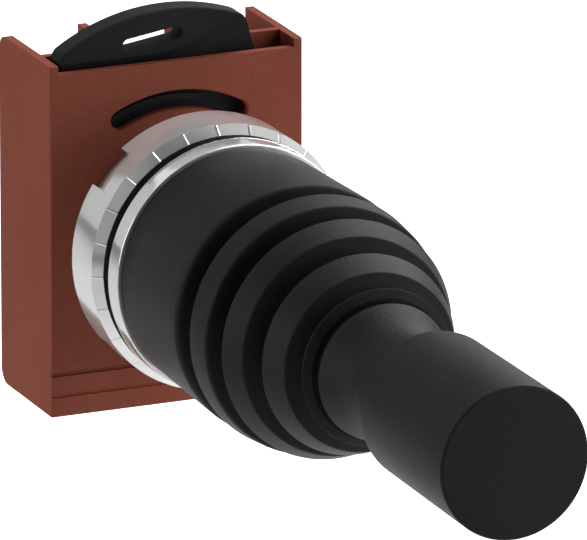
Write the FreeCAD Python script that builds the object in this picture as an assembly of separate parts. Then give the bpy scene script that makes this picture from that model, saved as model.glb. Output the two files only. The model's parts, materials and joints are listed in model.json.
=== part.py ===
import FreeCAD, Part
import math
import os

# Industrial joystick for a round panel hole, in millimetres.
# The origin is where the joystick's axis meets the panel's front face.
# +Y runs backwards through the panel, the handle points to -Y, and +Z is up.

V = FreeCAD.Vector
AXIS = V(0, 1, 0)
ORIGIN = V(0, 0, 0)

# Running and assembly clearances
PRESS_GAP = 0.02            # pressed or screwed pieces, radially
RUN_GAP = 0.05              # pins that turn in their holes
SLIDE_GAP = 0.10            # plungers, and pieces slipped over the neck
SEAT_GAP = 0.05             # faces that are clamped on each other
SOFT_GAP = 0.15             # round a rubber piece
TURNED_EDGE_R = 0.3         # rounded edges of turned pieces

# Stick travel
TILT_DEG = 14.0             # each way, up-down and left-right
PIVOT_Y = 2.0               # centre of the cross joint

# Bezel, neck and gasket
NECK_R = 11.1               # passes a standard 22.5 mm hole
NECK_BORE_R = 9.6
NECK_END_Y = 17.0
BEZEL_BACK_R = 14.42
BEZEL_FRONT_R = 14.28
BEZEL_LENGTH = 2.45
BEZEL_EDGE_FILLET = 0.12
BEZEL_RECESS_R = 12.6
BEZEL_WEB = 1.35
GASKET_R = 14.3
GASKET_T = 1.7
GASKET_EDGE_R = 0.2
KEY_WIDTH = 3.0             # anti-rotation key at the top of the neck
KEY_TOP_R = 12.6
KEY_LENGTH = 1.5

# Panel nut
NUT_LENGTH = 7.1
NUT_R = 15.2
NUT_CONE_RISE = 0.9         # the front face is smaller than the nut by this much
NUT_CONE_LENGTH = 0.95
NUT_RING_END_Y = 3.7        # the wrench notches start here
NUT_FRONT_WALL = 1.1        # round the recess in the front face
NUT_RECESS_DEPTH = 1.7
NUT_EDGE_R = 0.25
NUT_NOTCHES = 4
NUT_NOTCH_DEG = 19.1
NUT_NOTCH_START_DEG = 37.5
NUT_NOTCH_DEPTH = 1.4
NUT_LOBE_CORNER_R = 0.5
NUT_RIDGE_DROP = 1.0        # the ridges stand this far below the nut's outside
NUT_RIDGE_T = 0.5
NUT_RIDGES = 2
NUT_TEETH = 24
NUT_TOOTH_START_DEG = 1.6
NUT_TOOTH_RISE = 0.22       # radial height of a tooth's step

# Adapter housing behind the panel
PANEL_GAP = 6.0             # room between nut and housing for the panel
HOUSING_W = 30.2
HOUSING_H = 40.4
HOUSING_D = 15.0
HOUSING_WALL = 1.0
FRONT_WALL_DROP = 0.95      # the front wall ends below the side walls
LEVER_SPACE = 3.2           # between front wall and partition
BAY_RIB_OFFSET = 5.2        # from the middle of the housing to a rib's middle
REAR_CORNER_R = 1.8
EDGE_R = 0.1
UPRIGHT_EDGE_R = 0.3
STEP_LENGTH = 1.0           # the right wall ends this far before the others, at its top
STEP_HEIGHT = 5.0
WINDOW_IN_R = 13.75
WINDOW_OUT_R = 15.85
WINDOW_START_DEG = 60.0
WINDOW_END_DEG = 117.2
WINDOW_EDGE_R = 0.3
GROOVE_1_Z = -15.25         # two moulded grooves across the front wall
GROOVE_1_W = 0.6
GROOVE_1_DEPTH = 0.3
GROOVE_2_Z = -17.75
GROOVE_2_W = 0.45
GROOVE_2_DEPTH = 0.2
PLUNGER_WINDOW_R = 8.2
PLUNGER_END_GAP = 0.5       # before a pushed plunger's tip

# Lock lever
LEVER_DEG = 11.5
LEVER_GAP = 0.2             # in front of and behind the lever
RING_R = 13.2
WEB_R = 17.6
WEB_HALF_DEG = 33.0
LEVER_TOP_Z = 24.95         # crown of the handle
LEVER_TOP_R = 23.5
LEVER_LEFT = (-13.46, 20.0)
LEVER_LEFT_LEAN = 22.0      # degrees from upright
LEVER_LEFT_ROUND = 1.5
LEVER_RIGHT = (10.3, 18.15)
LEVER_RIGHT_LEAN = 14.75
LEVER_RIGHT_ROUND = 2.1
LEVER_EDGE_R = 0.4
LEAF_RAISE = 0.7            # the handle stands this far before its web
LEAF_BEVEL = 1.1            # its underside slopes back by this much
LEAF_UNDER_Z = 19.97
LEAF_UNDER_TURN_X = 0.3     # here the underside turns up
LEAF_UNDER_TURN_DEG = 25.2
LEAF_UNDER_ROUND = 18.0
LEAF_UNDER_REACH = 3.0      # the cut below the handle runs this far past its ends
SLOT_MID = (-2.35, 21.72)
SLOT_LENGTH = 7.2
SLOT_WIDTH = 1.45
SLOT_DEG = 8.5
RIDGE_R = 14.8
RIDGE_W = 0.7
RIDGE_RAISE = 0.6
RIDGE_START_DEG = 78.0
RIDGE_END_DEG = 120.0
LOCK_GROOVE_R = 10.45       # bayonet groove cut round the neck
LOCK_TAB_T = 1.2
LOCK_TAB_DEG = 12.0
LOCK_TABS = 2

# Boot
BOOT_START_R = 13.89
BOOT_RIM_R = 14.37
BOOT_RIM_ROUND = 0.9
BOOT_SKIRT_LENGTH = 16.65   # from the bezel's face to the first groove
BOOT_WALL = 1.25
BOOT_FOOT_T = 1.2
BOOT_FOOT_IN_R = 10.6
BOOT_CAVITY_Y = -7.0        # the skirt's inside opens in front of the gate
# from the skirt to the grip: length of the groove behind each ring, its floor, and the ring
BOOT_GROOVE_LENGTHS = (3.8, 3.1, 2.85)
BOOT_GROOVE_FLOOR_R = (11.55, 10.8, 9.8)
BOOT_RING_LENGTHS = (3.65, 2.95, 3.25)
BOOT_RING_BACK_R = (14.34, 13.5, 11.28)
BOOT_RING_FRONT_R = (14.0, 12.23, 10.0)
BOOT_RING_ROUND = (0.6, 0.5, 0.45)
BOOT_FACE_SLOPE = 0.7       # the rings' faces lean forward by this much
BOOT_COLLAR_GROOVE = 1.9
BOOT_COLLAR_FLOOR_R = 8.25
BOOT_COLLAR_R = 8.9
BOOT_COLLAR_END_R = 7.87
BOOT_COLLAR_LENGTH = 0.55
BOOT_NECK_R = 7.2           # narrow ring on which the grip sits
BOOT_NECK_LENGTH = 1.1
BOOT_CROWN_T = 1.6
BOOT_CROWN_IN_R = 6.3

# Stick
SHAFT_R = 3.5
THREAD_R = 2.9
THREAD_IN_GRIP = 15.0
CROWN_GAP = 0.2             # between the washer and the boot's crown
HUB_R = 4.3
TAIL_R = 2.0
SWASH_R = 7.7
SWASH_T = 1.5
SWASH_SETBACK = 4.3
CLIP_R = 3.4
CLIP_T = 0.5
NUT_AF = 10.0
NUT_T = 2.2
WASHER_R = 5.6
WASHER_T = 0.6

# Grip
GRIP_LENGTH = 34.04
GRIP_BASE_R = 7.62
GRIP_RIM_T = 0.12
GRIP_WAIST_R = 5.9
GRIP_WAIST_LENGTH = 6.1     # from the base to the waist
GRIP_SHOULDER_R = 8.3
GRIP_SHOULDER_LENGTH = 7.0  # from the waist to the shoulder
GRIP_END_R = 8.45
GRIP_END_FILLET = 0.35
BORE_END_GAP = 0.6          # beyond the stick's thread
INSERT_R = 4.5

# Cross joint
RING_OUT_R = 8.4
RING_IN_R = 5.0
RING_HALF_T = 2.0
TRUNNION_R = 1.2
CROSS_PIN_R = 1.0

# Gate, guide and plungers
GATE_FLANGE_R = 11.7
GATE_FLANGE_T = 1.15
GATE_SPIGOT_END_Y = -3.0
GATE_CORNER_R = 1.5
GATE_SIDE_GAP = 0.2
GUIDE_FRONT_Y = 11.6
GUIDE_LENGTH = 5.0
GUIDE_STOP_R = 9.0
GUIDE_STOP_T = 0.6
PLUNGER_PITCH_R = 6.0
PLUNGER_HEAD_R = 1.6
PLUNGER_HEAD_L = 0.8
PLUNGER_STEM_R = 0.9
PLUNGER_TIP_Y = 20.5
PLUNGER_REST_GAP = 0.6
SPRING_SEAT_T = 1.5
SPRING_R = 1.5
SPRING_WIRE = 0.4

# Sizes and places that follow from the sizes above
NUT_FRONT_R = NUT_R - NUT_CONE_RISE
NUT_RECESS_R = NUT_FRONT_R - NUT_FRONT_WALL
NUT_NOTCH_FLOOR_R = NUT_R - NUT_NOTCH_DEPTH
NUT_RIDGE_R = NUT_R - NUT_RIDGE_DROP
BEZEL_BACK_Y = -GASKET_T - SEAT_GAP
BEZEL_FRONT_Y = BEZEL_BACK_Y - BEZEL_LENGTH
RECESS_FLOOR_Y = BEZEL_BACK_Y - BEZEL_WEB
HOUSING_Y = NUT_LENGTH + PANEL_GAP
HOUSING_BACK_Y = HOUSING_Y + HOUSING_D
LEVER_FRONT_Y = HOUSING_Y + HOUSING_WALL + LEVER_GAP
WEB_FRONT_Y = LEVER_FRONT_Y + LEAF_RAISE
PARTITION_Y = HOUSING_Y + HOUSING_WALL + LEVER_SPACE
LEVER_BACK_Y = PARTITION_Y - LEVER_GAP
TAB_FRONT_Y = (LEVER_FRONT_Y + LEVER_BACK_Y - LOCK_TAB_T) / 2
BOOT_FOOT_Y = RECESS_FLOOR_Y - SEAT_GAP
BOOT_LIP_Y = BEZEL_FRONT_Y - SEAT_GAP
BOOT_SKIRT_END_Y = BOOT_LIP_Y - BOOT_SKIRT_LENGTH
BOOT_RINGS_END_Y = BOOT_SKIRT_END_Y - sum(BOOT_GROOVE_LENGTHS) - sum(BOOT_RING_LENGTHS)
BOOT_COLLAR_Y = BOOT_RINGS_END_Y - BOOT_COLLAR_GROOVE
BOOT_END_Y = BOOT_COLLAR_Y - BOOT_COLLAR_LENGTH - BOOT_NECK_LENGTH
GRIP_BASE_Y = BOOT_END_Y - SEAT_GAP
GRIP_END_Y = GRIP_BASE_Y - GRIP_LENGTH
GATE_BACK_Y = BOOT_FOOT_Y - BOOT_FOOT_T - SEAT_GAP
SHOULDER_Y = BOOT_END_Y + BOOT_CROWN_T + CROWN_GAP + WASHER_T + NUT_T
THREAD_END_Y = BOOT_END_Y - THREAD_IN_GRIP
SWASH_Y = PIVOT_Y + SWASH_SETBACK
HEAD_CENTRE_Y = SWASH_Y + SWASH_T + PLUNGER_REST_GAP + PLUNGER_HEAD_R
SPRING_FRONT_Y = HEAD_CENTRE_Y + PLUNGER_HEAD_L
SPRING_BACK_Y = GUIDE_FRONT_Y + GUIDE_LENGTH - SPRING_SEAT_T


def rounded_wire(points, place):
    """Closed wire through (u, v) or (u, v, radius) corners; place maps a corner into space."""
    flat = [V(p[0], p[1], 0) for p in points]
    radii = [p[2] if len(p) > 2 else 0.0 for p in points]
    count = len(flat)
    starts, ends, arcs = [], [], []
    for i in range(count):
        corner = flat[i]
        to_last = (flat[i - 1] - corner).normalize()
        to_next = (flat[(i + 1) % count] - corner).normalize()
        if radii[i] == 0.0:
            starts.append(corner)
            ends.append(corner)
            arcs.append(None)
            continue
        half = to_last.getAngle(to_next) / 2
        reach = radii[i] / math.tan(half)
        bisector = (to_last + to_next).normalize()
        centre = corner + bisector * (radii[i] / math.sin(half))
        starts.append(corner + to_last * reach)
        ends.append(corner + to_next * reach)
        arcs.append(centre - bisector * radii[i])
    edges = []
    for i in range(count):
        if arcs[i] is not None:
            edges.append(Part.Arc(place(starts[i]), place(arcs[i]), place(ends[i])).toShape())
        following = starts[(i + 1) % count]
        if (following - ends[i]).Length > 1e-6:
            edges.append(Part.LineSegment(place(ends[i]), place(following)).toShape())
    return Part.Wire(edges)


def turned(points):
    """Solid turned about the joystick's axis from an (r, y) profile with optional corner radii."""
    wire = rounded_wire(points, lambda p: V(p.x, p.y, 0))
    return Part.Face(wire).revolve(ORIGIN, AXIS, 360)


def plate(points, y_front, y_back):
    """Flat piece with an (x, z) outline between two planes across the axis."""
    wire = rounded_wire(points, lambda p: V(p.x, y_front, p.y))
    return Part.Face(wire).extrude(V(0, y_back - y_front, 0))


def rod(r, y_front, y_back, x=0.0, z=0.0):
    return Part.makeCylinder(r, y_back - y_front, V(x, y_front, z), AXIS)


def tube(r_out, r_in, y_front, y_back):
    return rod(r_out, y_front, y_back).cut(rod(r_in, y_front, y_back))


def block(x0, x1, y0, y1, z0, z1):
    return Part.makeBox(x1 - x0, y1 - y0, z1 - z0, V(x0, y0, z0))


def around(shape, degrees):
    """Copy turned about the axis; the angle grows from +X towards +Z."""
    copy = shape.copy()
    copy.rotate(ORIGIN, AXIS, -degrees)
    return copy


def sector(r_out, r_in, y_front, y_back, start_deg, span_deg):
    """Piece of a ring from one angle over a span, seen from the front."""

    def at(r, part):
        x, z = polar(r, start_deg + part * span_deg)
        return V(x, y_front, z)

    outer = Part.Arc(at(r_out, 0), at(r_out, 0.5), at(r_out, 1)).toShape()
    inner = Part.Arc(at(r_in, 1), at(r_in, 0.5), at(r_in, 0)).toShape()
    sides = [Part.LineSegment(at(r_out, k), at(r_in, k)).toShape() for k in (0, 1)]
    wire = Part.Wire([outer, sides[1], inner, sides[0]])
    return Part.Face(wire).extrude(V(0, y_back - y_front, 0))


def polar(r, degrees):
    return r * math.cos(math.radians(degrees)), r * math.sin(math.radians(degrees))


def arc_bar(mid_r, width, y_front, y_back, start_deg, end_deg):
    """Bar bent round the axis, with round ends centred on its first and last angle."""
    bar = sector(mid_r + width / 2, mid_r - width / 2, y_front, y_back, start_deg, end_deg - start_deg)
    for angle in (start_deg, end_deg):
        x, z = polar(mid_r, angle)
        bar = bar.fuse(rod(width / 2, y_front, y_back, x, z))
    return bar.removeSplitter()


def fillet_where(shape, radius, wanted):
    """Round the edges whose middle the test accepts."""
    edges = [edge for edge in shape.Edges if wanted(edge.CenterOfMass)]
    return shape.makeFillet(radius, edges)


def bezel_barrel():
    """Polished bezel and the neck behind it, with the pin holes and the bayonet groove."""
    body = turned([
        (NECK_BORE_R, RECESS_FLOOR_Y),
        (BEZEL_RECESS_R, RECESS_FLOOR_Y),
        (BEZEL_RECESS_R, BEZEL_FRONT_Y, BEZEL_EDGE_FILLET),
        (BEZEL_FRONT_R, BEZEL_FRONT_Y, BEZEL_EDGE_FILLET),
        (BEZEL_BACK_R, BEZEL_BACK_Y, BEZEL_EDGE_FILLET),
        (NECK_R, BEZEL_BACK_Y),
        (NECK_R, NECK_END_Y, TURNED_EDGE_R),
        (NECK_BORE_R, NECK_END_Y),
        (NECK_BORE_R, GUIDE_FRONT_Y),
        (GUIDE_STOP_R, GUIDE_FRONT_Y),
        (GUIDE_STOP_R, GUIDE_FRONT_Y - GUIDE_STOP_T),
        (NECK_BORE_R, GUIDE_FRONT_Y - GUIDE_STOP_T),
    ])
    length = 2 * NECK_R + 2
    pin_hole = Part.makeCylinder(TRUNNION_R + RUN_GAP, length, V(-length / 2, PIVOT_Y, 0), V(1, 0, 0))
    body = body.cut(pin_hole)
    key = block(-KEY_WIDTH / 2, KEY_WIDTH / 2, 0, KEY_LENGTH, NECK_R - 0.5, KEY_TOP_R)
    body = body.fuse(key)
    groove_front = TAB_FRONT_Y - LEVER_GAP
    groove_back = TAB_FRONT_Y + LOCK_TAB_T + LEVER_GAP
    body = body.cut(tube(NECK_R + 1, LOCK_GROOVE_R, groove_front, groove_back))
    entry_deg = LOCK_TAB_DEG + 3
    entry = sector(NECK_R + 1, LOCK_GROOVE_R, groove_back - 0.1, NECK_END_Y + 1, -entry_deg / 2, entry_deg)
    for k in range(LOCK_TABS):
        body = body.cut(around(entry, k * 360.0 / LOCK_TABS - LEVER_DEG))
    return body.removeSplitter()


def gasket():
    """Black ring between the bezel and the panel."""
    return turned([
        (NECK_R + SOFT_GAP, -GASKET_T),
        (GASKET_R, -GASKET_T, GASKET_EDGE_R),
        (GASKET_R, -SEAT_GAP, GASKET_EDGE_R),
        (NECK_R + SOFT_GAP, -SEAT_GAP),
    ])


def panel_nut():
    """Ring nut: ratchet teeth on the front cone, wrench notches with two thin ridges in each."""
    body = turned([
        (NECK_R + SLIDE_GAP, NUT_RECESS_DEPTH),
        (NUT_RECESS_R, NUT_RECESS_DEPTH),
        (NUT_RECESS_R, 0),
        (NUT_FRONT_R, 0),
        (NUT_R, NUT_CONE_LENGTH),
        (NUT_R, NUT_LENGTH),
        (NECK_R + SLIDE_GAP, NUT_LENGTH),
    ])
    notch = sector(
        NUT_R + 1, NUT_NOTCH_FLOOR_R, NUT_RING_END_Y, NUT_LENGTH + 1, NUT_NOTCH_START_DEG, NUT_NOTCH_DEG
    )
    for k in range(NUT_NOTCHES):
        body = body.cut(around(notch, k * 360.0 / NUT_NOTCHES))
    body = fillet_where(body, NUT_LOBE_CORNER_R, is_lobe_corner)
    body = body.common(turned([(0, -1), (NUT_R, -1), (NUT_R, NUT_LENGTH, NUT_EDGE_R), (0, NUT_LENGTH)]))
    pitch = (NUT_LENGTH - NUT_RING_END_Y) / (NUT_RIDGES + 1)
    for k in range(NUT_RIDGES):
        middle = NUT_RING_END_Y + (k + 1) * pitch
        inner_r = NUT_NOTCH_FLOOR_R - NUT_RIDGE_T
        body = body.fuse(tube(NUT_RIDGE_R, inner_r, middle - NUT_RIDGE_T / 2, middle + NUT_RIDGE_T / 2))
    tooth = ratchet_cutter()
    for k in range(NUT_TEETH):
        body = body.cut(around(tooth, NUT_TOOTH_START_DEG + k * 360.0 / NUT_TEETH))
    return body.removeSplitter()


def is_lobe_corner(middle):
    """Radial edge where a notch's side meets the nut's rear face."""
    r = math.hypot(middle.x, middle.z)
    return abs(middle.y - NUT_LENGTH) < 1e-4 and NUT_NOTCH_FLOOR_R + 0.1 < r < NUT_R - 0.1


def ratchet_cutter():
    """Lays one tooth's ramp on the nut's front cone; its step is at 0 degrees, where it is lowest.

    The ramp is a cone like the band's own, moved sideways so that it rises by one tooth over the pitch.
    """
    pitch = 360.0 / NUT_TEETH
    run_up = 0.3
    slope = NUT_CONE_RISE / NUT_CONE_LENGTH
    length = 2 * NUT_CONE_LENGTH
    shift = NUT_TOOTH_RISE / 2 / math.sin(math.radians(pitch / 2))
    small_r = NUT_FRONT_R - NUT_TOOTH_RISE / 2 - run_up * slope
    cone = Part.makeCone(small_r, small_r + length * slope, length, V(0, -run_up, 0), AXIS)
    x, z = polar(shift, pitch / 2 + 90)
    cone.translate(V(x, 0, z))
    ring_part = sector(NUT_R + 1, NUT_RECESS_R + 0.3, -run_up / 2, 1.6 * NUT_CONE_LENGTH, 0, pitch)
    return ring_part.cut(cone)


def adapter_housing():
    """Thin-walled frame: front wall with lever window, cross partition and three contact bays."""
    half_w = HOUSING_W / 2
    half_h = HOUSING_H / 2
    inner_w = half_w - HOUSING_WALL
    floor_z = -half_h + HOUSING_WALL
    above_z = half_h + 1
    lever_front = HOUSING_Y + HOUSING_WALL
    bay_front = PARTITION_Y + HOUSING_WALL
    step_front = HOUSING_BACK_Y - STEP_LENGTH
    side = rounded_wire(
        [
            (HOUSING_Y, -half_h, EDGE_R),
            (HOUSING_BACK_Y, -half_h, REAR_CORNER_R),
            (HOUSING_BACK_Y, half_h),
            (HOUSING_Y, half_h, EDGE_R),
        ],
        lambda p: V(-half_w, p.x, p.y),
    )
    plan = rounded_wire(
        [
            (-half_w, HOUSING_Y, UPRIGHT_EDGE_R),
            (half_w, HOUSING_Y, UPRIGHT_EDGE_R),
            (half_w, HOUSING_BACK_Y),
            (-half_w, HOUSING_BACK_Y),
        ],
        lambda p: V(p.x, p.y, -half_h),
    )
    body = Part.Face(side).extrude(V(HOUSING_W, 0, 0))
    body = body.common(Part.Face(plan).extrude(V(0, 0, HOUSING_H)))
    body = body.cut(block(-inner_w, inner_w, lever_front, PARTITION_Y, floor_z, above_z))
    rib_near = BAY_RIB_OFFSET - HOUSING_WALL / 2
    rib_far = BAY_RIB_OFFSET + HOUSING_WALL / 2
    for x0, x1 in ((-inner_w, -rib_far), (-rib_near, rib_near), (rib_far, inner_w)):
        body = body.cut(block(x0, x1, bay_front, HOUSING_BACK_Y + 1, floor_z, above_z))
    front_top_z = half_h - FRONT_WALL_DROP
    body = body.cut(block(-inner_w, inner_w, HOUSING_Y - 1, lever_front, front_top_z, above_z))
    step_z = half_h - STEP_HEIGHT
    body = body.cut(block(inner_w - 0.1, half_w + 1, step_front, HOUSING_BACK_Y + 1, step_z, above_z))
    body = body.cut(rod(NECK_R + SLIDE_GAP, HOUSING_Y - 1, lever_front + 1))
    pushed_tip_y = PLUNGER_TIP_Y + PLUNGER_PITCH_R * math.radians(TILT_DEG)
    body = body.cut(rod(PLUNGER_WINDOW_R, PARTITION_Y - 1, pushed_tip_y + PLUNGER_END_GAP))
    window_w = WINDOW_OUT_R - WINDOW_IN_R
    window_mid = (WINDOW_OUT_R + WINDOW_IN_R) / 2
    window_back = lever_front + 0.5
    window = arc_bar(window_mid, window_w, HOUSING_Y - 1, window_back, WINDOW_START_DEG, WINDOW_END_DEG)
    body = body.cut(window).removeSplitter()
    body = fillet_where(body, WINDOW_EDGE_R, is_window_rim)
    body = fillet_where(body, REAR_CORNER_R, is_left_top_corner)
    groove_end = half_w + 1
    for z, width, depth in (
        (GROOVE_1_Z, GROOVE_1_W, GROOVE_1_DEPTH),
        (GROOVE_2_Z, GROOVE_2_W, GROOVE_2_DEPTH),
    ):
        low_z = z - width / 2
        groove = block(-groove_end, groove_end, HOUSING_Y - 1, HOUSING_Y + depth, low_z, low_z + width)
        body = body.cut(groove)
    return body.removeSplitter()


def is_window_rim(middle):
    """Edge of the arc window in the housing's front face."""
    r = math.hypot(middle.x, middle.z)
    in_window = WINDOW_IN_R - 1 < r < WINDOW_OUT_R + 1 and middle.z > NECK_R
    return in_window and abs(middle.y - HOUSING_Y) < 1e-4


def is_left_top_corner(middle):
    """Rear edge on top of the housing's left wall."""
    on_left_wall = middle.x < -HOUSING_W / 2 + HOUSING_WALL
    at_top = abs(middle.z - HOUSING_H / 2) < 1e-4
    return on_left_wall and at_top and abs(middle.y - HOUSING_BACK_Y) < 1e-4


def lock_lever():
    """Bayonet ring round the neck, its web behind the window and the leaf-shaped handle on top."""
    body = tube(RING_R, NECK_R + SLIDE_GAP, WEB_FRONT_Y, LEVER_BACK_Y)
    web = sector(WEB_R, RING_R - 1, WEB_FRONT_Y, LEVER_BACK_Y, 90 - WEB_HALF_DEG, 2 * WEB_HALF_DEG)
    ridge_front = WEB_FRONT_Y - RIDGE_RAISE
    ridge = arc_bar(RIDGE_R, RIDGE_W, ridge_front, WEB_FRONT_Y + 0.2, RIDGE_START_DEG, RIDGE_END_DEG)
    body = body.fuse(web).fuse(lever_handle()).fuse(ridge)
    tab = sector(
        NECK_R + 1,
        LOCK_GROOVE_R + SLIDE_GAP,
        TAB_FRONT_Y,
        TAB_FRONT_Y + LOCK_TAB_T,
        -LOCK_TAB_DEG / 2,
        LOCK_TAB_DEG,
    )
    for k in range(LOCK_TABS):
        body = body.fuse(around(tab, k * 360.0 / LOCK_TABS))
    slot_round = SLOT_WIDTH * 0.49
    half_l = SLOT_LENGTH / 2
    half_w = SLOT_WIDTH / 2
    corners = [(-half_l, -half_w), (half_l, -half_w), (half_l, half_w), (-half_l, half_w)]
    slot = plate([(x, z, slot_round) for x, z in corners], LEVER_FRONT_Y - 1, LEVER_BACK_Y + 1)
    slot.rotate(ORIGIN, AXIS, -SLOT_DEG)
    slot.translate(V(SLOT_MID[0], 0, SLOT_MID[1]))
    return body.cut(slot).removeSplitter()


def lever_handle():
    """Plate with a crowned top; below the raised handle its front is cut back to the web."""
    crown_z = LEVER_TOP_Z - LEVER_TOP_R
    top_z = LEVER_TOP_Z + 1
    left_x = LEVER_LEFT[0] + (top_z - LEVER_LEFT[1]) * math.tan(math.radians(LEVER_LEFT_LEAN))
    right_x = LEVER_RIGHT[0] - (top_z - LEVER_RIGHT[1]) * math.tan(math.radians(LEVER_RIGHT_LEAN))
    blank = plate(
        [
            polar(WEB_R, 90 + WEB_HALF_DEG),
            LEVER_LEFT,
            (left_x, top_z),
            (right_x, top_z),
            LEVER_RIGHT,
            polar(WEB_R, 90 - WEB_HALF_DEG),
        ],
        LEVER_FRONT_Y,
        LEVER_BACK_Y,
    )
    blank = blank.common(rod(LEVER_TOP_R, LEVER_FRONT_Y - 1, LEVER_BACK_Y + 1, 0, crown_z))
    blank = blank.makeFillet(LEVER_LEFT_ROUND, [top_corner(blank, -1)])
    blank = blank.makeFillet(LEVER_RIGHT_ROUND, [top_corner(blank, 1)])
    blank = fillet_where(blank, LEVER_EDGE_R, is_handle_rim)
    over = under_wire(LEVER_FRONT_Y - LEAF_RAISE, -LEAF_BEVEL)
    under = under_wire(WEB_FRONT_Y, LEAF_BEVEL)
    return blank.cut(Part.makeLoft([over, under], True, True))


def top_corner(blank, side):
    """The blank's outermost edge along the axis on its crowned top; side is 1 right, -1 left."""
    middle_y = (LEVER_FRONT_Y + LEVER_BACK_Y) / 2
    crown = V(0, middle_y, LEVER_TOP_Z - LEVER_TOP_R)
    edges = [e for e in blank.Edges if abs(e.CenterOfMass.y - middle_y) < 1e-4]
    edges = [e for e in edges if (e.CenterOfMass - crown).Length > LEVER_TOP_R - 0.01]
    return max(edges, key=lambda e: side * e.CenterOfMass.x)


def under_wire(y, offset):
    """Outline of what is cut away below the handle; its upper edge is lowered by the offset."""
    turn = math.radians(LEAF_UNDER_TURN_DEG)
    level_z = LEAF_UNDER_Z - offset
    turn_x = LEAF_UNDER_TURN_X + offset * math.tan(turn / 2)
    right_x = LEVER_RIGHT[0] + LEAF_UNDER_REACH
    right_z = level_z + (right_x - turn_x) * math.tan(turn)
    points = [
        (LEVER_LEFT[0] - LEAF_UNDER_REACH, 0),
        (right_x, 0),
        (right_x, right_z),
        (turn_x, level_z, LEAF_UNDER_ROUND + offset),
        (LEVER_LEFT[0] - LEAF_UNDER_REACH, level_z),
    ]
    return rounded_wire(points, lambda p: V(p.x, y, p.y))


def is_handle_rim(middle):
    """Top and side edges of the handle's front face."""
    return middle.z > LEVER_RIGHT[1] + 0.5 and abs(middle.y - LEVER_FRONT_Y) < 1e-4


def boot():
    """Rubber bellows: plain skirt, three stepped rings, collar and the neck under the grip."""
    outer = [
        (BOOT_FOOT_IN_R, BOOT_FOOT_Y),
        (BEZEL_RECESS_R - SOFT_GAP, BOOT_FOOT_Y),
        (BEZEL_RECESS_R - SOFT_GAP, BOOT_LIP_Y),
        (BOOT_START_R, BOOT_LIP_Y, 0.15),
        (BOOT_RIM_R, BOOT_SKIRT_END_Y, BOOT_RIM_ROUND),
    ]
    inner = [
        (BOOT_FOOT_IN_R, BOOT_FOOT_Y - BOOT_FOOT_T),
        (GATE_FLANGE_R + SOFT_GAP, BOOT_FOOT_Y - BOOT_FOOT_T),
        (GATE_FLANGE_R + SOFT_GAP, BOOT_CAVITY_Y, 0.5),
        (BOOT_RIM_R - BOOT_WALL - 0.4, BOOT_CAVITY_Y - 1.5, 1.0),
        (BOOT_RIM_R - BOOT_WALL - 0.2, BOOT_SKIRT_END_Y + 0.5, 1.0),
    ]
    y = BOOT_SKIRT_END_Y
    for k, floor_r in enumerate(BOOT_GROOVE_FLOOR_R):
        groove_front = y - BOOT_GROOVE_LENGTHS[k]
        outer.append((floor_r + 0.15, y - BOOT_FACE_SLOPE, 0.4))
        outer.append((floor_r - 0.1, groove_front + BOOT_FACE_SLOPE, 0.4))
        outer.append((BOOT_RING_BACK_R[k], groove_front, 0.15))
        inner.append((floor_r - BOOT_WALL + 0.1, y - BOOT_FACE_SLOPE, 0.8))
        y = groove_front - BOOT_RING_LENGTHS[k]
        outer.append((BOOT_RING_FRONT_R[k], y, BOOT_RING_ROUND[k]))
    inner_end = BOOT_END_Y + BOOT_CROWN_T
    inner.append((BOOT_GROOVE_FLOOR_R[-1] - BOOT_WALL, BOOT_RINGS_END_Y, 0.8))
    inner.append((BOOT_CROWN_IN_R, inner_end, 0.4))
    inner.append((THREAD_R + SOFT_GAP, inner_end))
    outer += [
        (BOOT_COLLAR_FLOOR_R, y - BOOT_FACE_SLOPE, 0.2),
        (BOOT_COLLAR_FLOOR_R, BOOT_COLLAR_Y + 0.3, 0.2),
        (BOOT_COLLAR_R, BOOT_COLLAR_Y, 0.1),
        (BOOT_COLLAR_END_R, BOOT_COLLAR_Y - BOOT_COLLAR_LENGTH, 0.12),
        (BOOT_NECK_R, BOOT_COLLAR_Y - BOOT_COLLAR_LENGTH, 0.1),
        (BOOT_NECK_R, BOOT_END_Y),
        (THREAD_R + SOFT_GAP, BOOT_END_Y),
    ]
    return turned(outer + inner[::-1])


def gate_plate():
    """Flanged cup pressed into the neck: clamps the boot's foot and limits the stick's tilt."""
    front = GATE_BACK_Y - GATE_FLANGE_T
    body = rod(GATE_FLANGE_R, front, GATE_BACK_Y)
    body = body.fuse(rod(NECK_BORE_R - PRESS_GAP, front, GATE_SPIGOT_END_Y))
    tilt = math.radians(TILT_DEG)
    half = (PIVOT_Y - front) * math.tan(tilt) + SHAFT_R / math.cos(tilt) + GATE_SIDE_GAP
    corners = [(-half, -half), (half, -half), (half, half), (-half, half)]
    opening = plate([(x, z, GATE_CORNER_R) for x, z in corners], front - 1, GATE_SPIGOT_END_Y + 1)
    return body.cut(opening)


def gimbal_ring():
    """Ring of the cross joint, bored along X for the trunnions and along Z for the stick's pin."""
    body = turned([
        (RING_IN_R, PIVOT_Y - RING_HALF_T),
        (RING_OUT_R, PIVOT_Y - RING_HALF_T, 0.4),
        (RING_OUT_R, PIVOT_Y + RING_HALF_T, 0.4),
        (RING_IN_R, PIVOT_Y + RING_HALF_T),
    ])
    length = 2 * RING_OUT_R + 2
    body = body.cut(
        Part.makeCylinder(TRUNNION_R + PRESS_GAP, length, V(-length / 2, PIVOT_Y, 0), V(1, 0, 0))
    )
    return body.cut(
        Part.makeCylinder(CROSS_PIN_R + PRESS_GAP, length, V(0, PIVOT_Y, -length / 2), V(0, 0, 1))
    )


def trunnion_pin(side):
    """Pin from the gimbal ring into the neck's wall; side is 1 at the right, -1 at the left."""
    inner = RING_IN_R + 0.3
    outer = NECK_R - 0.25
    return Part.makeCylinder(TRUNNION_R, outer - inner, V(side * inner, PIVOT_Y, 0), V(side, 0, 0))


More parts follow.
